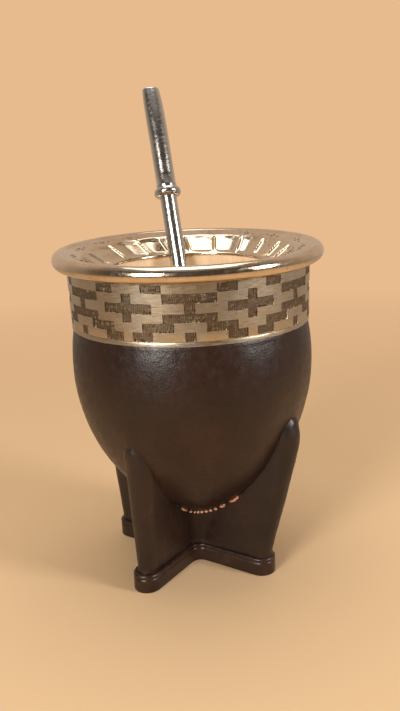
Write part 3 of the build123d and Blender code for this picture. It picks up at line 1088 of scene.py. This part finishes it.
@dataclass
class Lip:
    """The rolled bead, the flat brim and the fluted slope down into the mouth."""

    tilt: Tilt
    bead_radius: float = 2.8
    bead_ring: float = 46.164
    bead_height: float = 120.25
    brim_radius: float = 43.444
    brim_drop: float = 0.55
    fold_radius: float = 38.844
    fold_drop: float = 1.8
    mouth_radius: float = 29.844
    mouth_drop: float = 8.0
    thickness: float = 0.9
    lobe_depth: float = 0.62
    ridge_height: float = 0.55
    ridge_width: float = 0.42
    scallop: float = 0.9
    twist: float = 4.0
    ridges: tuple[float, ...] = (
        3.0, 20.0, 39.0, 54.0, 70.5, 87.5, 105.0, 123.5, 139.0, 154.5,
        176.0, 202.0, 220.0, 238.5, 255.0, 274.0, 292.0, 309.0, 327.5, 345.0,
    )
    columns: int = 720
    slope_rows: int = 26

    @property
    def crest(self) -> float:
        """Height of the bead's top."""
        return self.bead_height + self.bead_radius

    def lobe_place(self, azimuth: float) -> tuple[float, float]:
        """Where an azimuth lies between two ridges.

        Args:
            azimuth: The direction, in degrees.

        Returns:
            Millimetres to the nearest ridge, signed, and the share across the lobe.
        """
        azimuth %= 360
        stops = [self.ridges[-1] - 360, *self.ridges, self.ridges[0] + 360]
        for low, high in zip(stops, stops[1:]):
            if low <= azimuth < high:
                share = (azimuth - low) / (high - low)
                near = azimuth - low if share < 0.5 else azimuth - high
                return math.radians(near) * self.fold_radius * 0.9, share
        return 0.0, 0.0

    def relief(self, azimuth: float, share: float) -> float:
        """Height of the flutes over the plain slope at a share of the way out, in millimetres."""
        near, across = self.lobe_place(azimuth - self.twist * (share - 0.3))
        edge = 1.0 - 0.16 * abs(2 * across - 1) ** 2.2
        hollow = math.sin(math.pi * across) ** 0.8
        in_lobe = ease(share, 0.02, 0.3) * (1 - ease(share, edge - 0.16, edge + 0.02))
        ridge_window = ease(share, 0.16, 0.3) * (1 - ease(share, 0.8, 0.97))
        ridge = math.exp(-((near / self.ridge_width) ** 2)) * ridge_window
        crease = math.exp(-(((near + 0.95) / 0.4) ** 2)) * ridge_window
        return -self.lobe_depth * hollow * in_lobe + self.ridge_height * ridge - 0.28 * crease

    def outline(self) -> list[tuple[float, float, float]]:
        """The lip's closed outline: (radius, height, share along the fluted slope or -1)."""
        low, high = self.crest - self.mouth_drop, self.crest - self.fold_drop
        points = [(self.mouth_radius + 0.5, low - 0.75, -1.0), (self.mouth_radius + 0.1, low - 0.6, -1.0)]
        points += [(self.mouth_radius, low - 0.3, -1.0), (self.mouth_radius + 0.12, low - 0.02, -1.0)]
        for step in range(1, self.slope_rows + 1):
            share = step / self.slope_rows
            points.append((blend(self.mouth_radius, self.fold_radius, share), blend(low, high, share), share))
        brim = self.crest - self.brim_drop
        for share in (0.06, 0.14, 0.35, 0.6, 0.85, 0.98):
            points.append((blend(self.fold_radius, self.brim_radius, share), blend(high, brim, share), -1.0))
        points.append((self.brim_radius + 0.45, brim - 0.1, -1.0))
        for step in range(25):
            angle = math.radians(blend(132, -137, step / 24))
            points.append(
                (
                    self.bead_ring + self.bead_radius * math.cos(angle),
                    self.bead_height + self.bead_radius * math.sin(angle),
                    -1.0,
                )
            )
        under = 1.09
        points.append((self.brim_radius, self.bead_height - 0.4, -1.0))
        points.append((self.brim_radius, brim - under, -1.0))
        for share in (1.0, 0.66, 0.33):
            points.append(
                (blend(self.mouth_radius, self.fold_radius, share), blend(low, high, share) - under, -1.0)
            )
        return points

    def build(self) -> bpy.types.Object:
        """Lays the whole lip on rows round the mouth."""
        rows = []
        for radius, height, share in self.outline():
            row = []
            for column in range(self.columns):
                azimuth = 360 * column / self.columns
                lift = self.relief(azimuth, share) if share >= 0 else 0.0
                spot = polar(radius, azimuth, height)
                lift += 0.05 * uneven(spot, 7.0, 3.0)
                row.append(self.tilt.turned(spot + Vector((0, 0, lift * MM))))
            rows.append(row)
        rows.append(rows[0])
        bm = sheet_on_rows(rows)
        return make_piece(bm, "metal_lip", LIP_METAL.make(), ["lip"], crease=50)

    def brim_point(self, radius: float, azimuth: float) -> Vector:
        """A point on the brim's top."""
        share = (radius - self.fold_radius) / (self.brim_radius - self.fold_radius)
        height = blend(self.crest - self.fold_drop, self.crest - self.brim_drop, share)
        return self.tilt.turned(polar(radius, azimuth, height))

    def engrave(self) -> bpy.types.Object:
        """Scatters small engraved scrolls and petals round the brim."""
        draw = random.Random(7)
        strokes = []
        for motif in range(16):
            middle = 360 * motif / 16 + draw.uniform(-4, 4)
            radius = blend(self.fold_radius, self.brim_radius, 0.5) + draw.uniform(-0.4, 0.4)
            petals = draw.choice((4, 5, 6))
            for petal in range(petals):
                strokes.append(self.petal(middle, radius, TURN * petal / petals, draw.uniform(0.8, 1.5)))
            for side in (-1, 1):
                strokes.append(self.scroll(middle + side * 4.6, radius, side, draw.uniform(0.6, 1.0)))
        return make_piece(joined(strokes), "brim_engraving", ENGRAVED_METAL.make())

    def mark(self, places: Sequence[tuple[float, float]], width: float) -> bmesh.types.BMesh:
        """One engraved line through places given as (azimuth, radius)."""
        path = [self.brim_point(radius, azimuth) for azimuth, radius in places]
        last = len(path) - 1
        radii = [width * math.sin(math.pi * (0.12 + 0.76 * n / last)) if 0 < n < last else 0.0 for n in range(last + 1)]
        return tube(path, radii, sides=6)

    def petal(self, azimuth: float, radius: float, turn: float, size: float) -> bmesh.types.BMesh:
        """One bent petal stroke out from a flower's middle."""
        places = []
        for step in range(7):
            out = 0.25 + size * step / 6
            bend = turn + 0.5 * math.sin(math.pi * step / 6)
            places.append((azimuth + math.degrees(out * math.sin(bend) / radius), radius + out * math.cos(bend)))
        return self.mark(places, 0.13)

    def scroll(self, azimuth: float, radius: float, side: int, size: float) -> bmesh.types.BMesh:
        """One curled stroke beside a flower."""
        places = []
        for step in range(10):
            turn = side * 4.2 * step / 9
            reach = size * (1 - 0.6 * step / 9)
            places.append((azimuth + math.degrees(reach * math.cos(turn) / radius), radius + reach * math.sin(turn)))
        return self.mark(places, 0.11)


# ---------------------------------------------------------------- straw


@dataclass
class Straw:
    """The metal straw: stem, turned ring and a mouthpiece with a flattened, bent tip."""

    tilt: Tilt
    mouth_radius: float = 29.844
    mouth_height: float = 115.05
    foot: tuple[float, float, float] = (5.0, 2.7, 32.74)
    lean_azimuth: float = 135.0
    clearance: float = 0.25
    stem_radius: float = 3.35
    stem_wall: float = 0.7
    stem_start: float = 17.0
    ring_radius: float = 5.35
    ring_height: float = 3.6
    ring_place: float = 113.4
    upper_radius: float = 3.87
    upper_wall: float = 1.1
    end: float = 156.5
    tip_length: float = 24.0
    sides: int = 72
    tip_rows: tuple[tuple[float, float, float, float], ...] = (
        (0.0, 3.87, 3.87, 0.0),
        (0.4, 3.95, 3.6, 0.2),
        (0.75, 3.85, 3.1, 0.6),
        (1.0, 3.45, 2.6, 1.1),
    )

    def __post_init__(self) -> None:
        """Works out the straw's own directions from its foot and the mouth's edge."""
        edge = self.tilt.turned(polar(self.mouth_radius, self.lean_azimuth, self.mouth_height)) / MM
        out = edge - Vector(self.foot)
        level = Vector((out.x, out.y, 0))
        lean = math.atan2(level.length, out.z) - math.asin((self.stem_radius + self.clearance) / out.length)
        away = level.normalized()
        self.way = away * math.sin(lean) + Vector((0, 0, math.cos(lean)))
        self.bend_way = away * math.cos(lean) - Vector((0, 0, math.sin(lean)))
        self.side_way = self.way.cross(self.bend_way)

    def row(self, place: float, width: float, depth: float, bend: float = 0.0) -> Row:
        """One elliptic row round the straw at a place along it."""
        middle = Vector(self.foot) + self.way * place + self.bend_way * bend
        points = []
        for step in range(self.sides):
            turn = TURN * step / self.sides
            spot = middle + self.side_way * width * math.cos(turn) + self.bend_way * depth * math.sin(turn)
            points.append(spot * MM)
        return points

    def tip(self, share: float) -> tuple[float, float, float]:
        """Half width, half depth and bend of the tip on a smooth curve through its rows."""
        rows = self.tip_rows
        place = max(i for i in range(len(rows) - 1) if rows[i][0] <= share)
        low, high = rows[place], rows[place + 1]
        before, after = rows[max(place - 1, 0)], rows[min(place + 2, len(rows) - 1)]
        span = high[0] - low[0]
        t = (share - low[0]) / span
        values = []
        for k in (1, 2, 3):
            slope_in = (high[k] - before[k]) / (high[0] - before[0]) * span
            slope_out = (after[k] - low[k]) / (after[0] - low[0]) * span
            first = (2 * t**3 - 3 * t**2 + 1) * low[k] + (t**3 - 2 * t**2 + t) * slope_in
            values.append(first + (3 * t**2 - 2 * t**3) * high[k] + (t**3 - t**2) * slope_out)
        return values[0], values[1], values[2]

    def closed(self, rows: list[Row], name: str, metal: bpy.types.Material, node: str) -> bpy.types.Object:
        """Closes rows that go up outside and down inside into one piece."""
        rows.append(rows[0])
        return make_piece(sheet_on_rows(rows), name, metal, [node])

    def build(self) -> None:
        """Builds the stem, the ring and the mouthpiece."""
        metal = STRAW_METAL.make()
        r, inner = self.stem_radius, self.stem_radius - self.stem_wall
        stops = [self.stem_start, self.stem_start + 0.2, 60.0, 100.0, self.ring_place - 0.1]
        rows = [self.row(place, r, r) for place in stops]
        rows += [self.row(place, inner, inner) for place in reversed(stops)]
        self.closed(rows, "straw_stem_tube", metal, "straw_stem")

        rows = []
        half = self.ring_height / 2
        for step in range(21):
            turn = blend(-math.pi / 2, math.pi / 2, step / 20)
            reach = self.upper_radius + (self.ring_radius - self.upper_radius) * math.cos(turn)
            rows.append(self.row(self.ring_place + half * math.sin(turn), reach, reach))
        for place, reach in ((half, self.upper_radius + 0.02), (0.05, self.upper_radius + 0.02)):
            rows.append(self.row(self.ring_place + place, reach, reach))
        for place in (0.0, -half):
            rows.append(self.row(self.ring_place + place, r + 0.02, r + 0.02))
        self.closed(rows, "straw_ring_bead", metal, "straw_ring")

        outside, inside = [], []
        start = self.end - self.tip_length
        r, wall = self.upper_radius, self.upper_wall
        for beyond in (0.1, 2.6, 3.0, 3.4, 8.0, 13.0):
            place = self.ring_place + beyond
            step_out = 0.25 * math.exp(-((beyond - 2.8) / 0.35) ** 2)
            outside.append(self.row(place, r + step_out, r + step_out))
            inside.append(self.row(place, r - wall, r - wall))
        for step in range(15):
            share = step / 15
            width, depth, bend = self.tip(share)
            outside.append(self.row(start + self.tip_length * share, width, depth, bend))
            inside.append(self.row(start + self.tip_length * share, width - wall, depth - wall, bend))
        width, depth, bend = self.tip(0.999)
        for turn in (0.0, 0.35, 0.7, 1.05, 1.4, math.pi / 2):
            drop = 0.55 * (1 - math.cos(turn))
            outside.append(self.row(self.end - 0.55 * (1 - math.sin(turn)), width - drop, depth - drop, bend))
        inside.append(self.row(self.end, width - wall, depth - wall, bend))
        self.closed(outside + inside[::-1], "straw_mouthpiece_tube", metal, "straw_mouthpiece")
        self.dress_filter(metal)

    @staticmethod
    def dress_filter(metal: bpy.types.Material) -> None:
        """Gives the CAD filter the straw's metal."""
        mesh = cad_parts["straw_filter"].data
        mesh.materials.clear()
        mesh.materials.append(metal)
        log.info("straw_filter: kept from the CAD model")


# ---------------------------------------------------------------- studio


class LampSide(Enum):
    """Where a soft lamp stands."""

    LEFT = "left"
    RIGHT = "right"
    TOP = "top"


@dataclass
class Studio:
    """The round sweep behind and under the gourd, the soft lamps and the camera."""

    floor_radius: float = 0.75
    sweep_radius: float = 0.55
    wall_height: float = 1.7
    camera_place: tuple[float, float, float] = (0.155866, -0.226360, 0.154634)
    camera_right: tuple[float, float, float] = (0.83493312, 0.54880585, -0.04121681)
    camera_up: tuple[float, float, float] = (-0.10890873, 0.2381712, 0.9650976)
    camera_forward: tuple[float, float, float] = (-0.53946786, 0.80130308, -0.25862677)
    lens: float = 38.17
    wall_color: Color = (0.806, 0.497, 0.271, 1)
    floor_color: Color = (0.64, 0.455, 0.265, 1)
    far_gleam: Color = (0.60, 0.47, 0.36, 1)
    near_gleam: Color = (0.075, 0.06, 0.048, 1)

    def sweep(self) -> None:
        """A bowl-shaped sweep, so that every side has the same plain ground."""
        bm = bmesh.new()
        outline = [(0.0, 0.0)]
        outline += [(self.floor_radius * step / 6, 0.0) for step in range(1, 7)]
        for step in range(1, 17):
            turn = math.pi / 2 * step / 16
            outline.append(
                (
                    self.floor_radius + self.sweep_radius * math.sin(turn),
                    self.sweep_radius * (1 - math.cos(turn)),
                )
            )
        outline.append((self.floor_radius + self.sweep_radius, self.wall_height))
        verts = [bm.verts.new((x, 0.0, z)) for x, z in outline]
        edges = [bm.edges.new(pair) for pair in zip(verts, verts[1:])]
        bmesh.ops.spin(
            bm, geom=verts + edges, cent=(0, 0, 0), axis=(0, 0, 1), dvec=(0, 0, 0), angle=TURN, steps=96, use_merge=True
        )
        bmesh.ops.remove_doubles(bm, verts=bm.verts[:], dist=1e-6)
        for face in bm.faces:
            face.smooth = True
            if face.normal.dot(Vector((0, 0, 1)) - face.calc_center_median()) < 0:
                face.normal_flip()
        mesh = bpy.data.meshes.new("studio_sweep")
        bm.to_mesh(mesh)
        bm.free()
        mesh.materials.append(self.sweep_material())
        ground = bpy.data.objects.new("studio_sweep", mesh)
        bpy.context.scene.collection.objects.link(ground)

    def sweep_material(self) -> bpy.types.Material:
        """Plain paper, lit as a floor. As a wall it keeps its own colour and gleams most beyond the gourd."""
        shader = Shader("studio_paper")
        grain = shader.noise(700, detail=2)
        tone = shader.mix(shader.band(grain, 0.3, 0.7, 0.0, 0.06), self.floor_color, (0.7, 0.43, 0.24, 1))
        shader.dress(Base_Color=tone, Roughness=0.9, Specular_IOR_Level=0.2)
        glow = shader.add("ShaderNodeEmission")
        rays = shader.add("ShaderNodeLightPath")
        seen = shader.sum("ADD", rays.outputs["Is Camera Ray"], rays.outputs["Is Glossy Ray"], clamp=True)
        split = shader.add("ShaderNodeSeparateXYZ")
        shader.join(shader.place, split.inputs[0])
        radial = shader.add("ShaderNodeVectorMath", operation="LENGTH")
        shader.join(shader.place, radial.inputs[0])
        along_x = shader.sum("MULTIPLY", split.outputs["X"], self.camera_forward[0])
        along_y = shader.sum("MULTIPLY", split.outputs["Y"], self.camera_forward[1])
        beyond = shader.band(shader.sum("ADD", along_x, along_y), -0.5, 0.8)
        gleam = shader.mix(beyond, self.near_gleam, self.far_gleam)
        shader.join(shader.mix(rays.outputs["Is Camera Ray"], gleam, self.wall_color), glow.inputs["Color"])
        wall = shader.band(radial.outputs["Value"], 0.12, 0.6)
        blended = shader.add("ShaderNodeMixShader")
        shader.join(shader.sum("MULTIPLY", seen, wall), blended.inputs["Fac"])
        shader.join(shader.skin.outputs["BSDF"], blended.inputs[1])
        shader.join(glow.outputs["Emission"], blended.inputs[2])
        output = shader.tree.nodes["Material Output"]
        shader.join(blended.outputs[0], output.inputs["Surface"])
        return shader.material

    def lamp(self, side: LampSide, place: Vector, size: tuple[float, float], power: float, color: Color) -> None:
        """One soft rectangular lamp that faces the gourd."""
        data = bpy.data.lights.new(f"lamp_{side.value}", "AREA")
        data.shape = "RECTANGLE"
        data.size, data.size_y = size
        data.energy = power
        data.color = color[:3]
        lamp = bpy.data.objects.new(f"lamp_{side.value}", data)
        lamp.location = place
        lamp.rotation_mode = "QUATERNION"
        lamp.rotation_quaternion = (Vector((0, 0, 0.08)) - place).to_track_quat("-Z", "Y")
        bpy.context.scene.collection.objects.link(lamp)

    def beside(self, right: float, up: float, back: float) -> Vector:
        """A place in metres right of, above and nearer than the gourd, as the camera faces it."""
        level = Vector((self.camera_forward[0], self.camera_forward[1], 0)).normalized()
        across = Vector((level.y, -level.x, 0))
        return across * right - level * back + Vector((0, 0, up))

    def light(self) -> None:
        """Two large soft lamps at the front corners, one overhead, and a pale world."""
        self.lamp(LampSide.LEFT, self.beside(-0.42, 0.34, 0.66), (0.26, 0.34), 6.0, (1, 0.97, 0.93, 1))
        self.lamp(LampSide.RIGHT, self.beside(0.72, 0.36, 0.36), (0.22, 0.32), 5.0, (1, 0.98, 0.96, 1))
        self.lamp(LampSide.TOP, self.beside(0.0, 1.15, -0.15), (0.8, 0.8), 6.0, (1, 0.98, 0.95, 1))
        world = bpy.data.worlds.new("studio_world")
        world.use_nodes = True
        ground = world.node_tree.nodes["Background"]
        ground.inputs["Color"].default_value = (1.0, 0.93, 0.85, 1)
        ground.inputs["Strength"].default_value = 0.28
        bpy.context.scene.world = world

    def camera(self) -> None:
        """The camera, at the object's usual viewing angle."""
        data = bpy.data.cameras.new("camera")
        data.lens = self.lens
        data.sensor_width = 36.0
        data.clip_start, data.clip_end = 0.01, 20.0
        camera = bpy.data.objects.new("camera", data)
        bpy.context.scene.collection.objects.link(camera)
        turn = Matrix((self.camera_right, self.camera_up, tuple(-v for v in self.camera_forward))).transposed()
        camera.matrix_world = Matrix.Translation(self.camera_place) @ turn.to_4x4()
        bpy.context.scene.camera = camera

    def build(self) -> None:
        """Sets up the camera, the sweep, the lamps and plain colour."""
        self.camera()
        self.sweep()
        self.light()
        bpy.context.scene.view_settings.view_transform = "Standard"


# ---------------------------------------------------------------- the whole


def dress_gourd() -> None:
    """Gives the CAD gourd its dry, pale wall."""
    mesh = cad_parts["gourd"].data
    mesh.materials.clear()
    mesh.materials.append(GOURD.make())
    log.info("gourd: kept from the CAD model")


def stitch_seams(stand: Stand) -> None:
    """Sews the four corners. The front corner's holes are spaced as listed, the others nearly evenly."""
    front = (0.02, 0.1, 0.18, 0.26, 0.36, 0.48, 0.6, 0.7, 0.79, 0.87, 0.95)
    Seam(stand, "front_right", -45.0, front).build()
    draw = random.Random(3)
    for corner, facing in (("back_right", 45.0), ("back_left", 135.0), ("front_left", 225.0)):
        even = [0.02 + 0.096 * step + draw.uniform(-0.012, 0.012) for step in range(11)]
        Seam(stand, corner, facing, even).build()


def main() -> None:
    """Builds the gourd's pieces in the order in which they are put together."""
    logging.basicConfig(level=logging.INFO, format="%(name)s %(message)s")
    Studio().build()
    ball = Ball()
    stand = Stand(ball)
    dress_gourd()
    Cover(ball).build()
    stand.build()
    Sole().build()
    stitch_seams(stand)
    tilt = Tilt()
    Collar(tilt).build()
    lip = Lip(tilt)
    lip.build()
    lip.engrave()
    Straw(tilt).build()


if __name__ == "__main__":
    main()
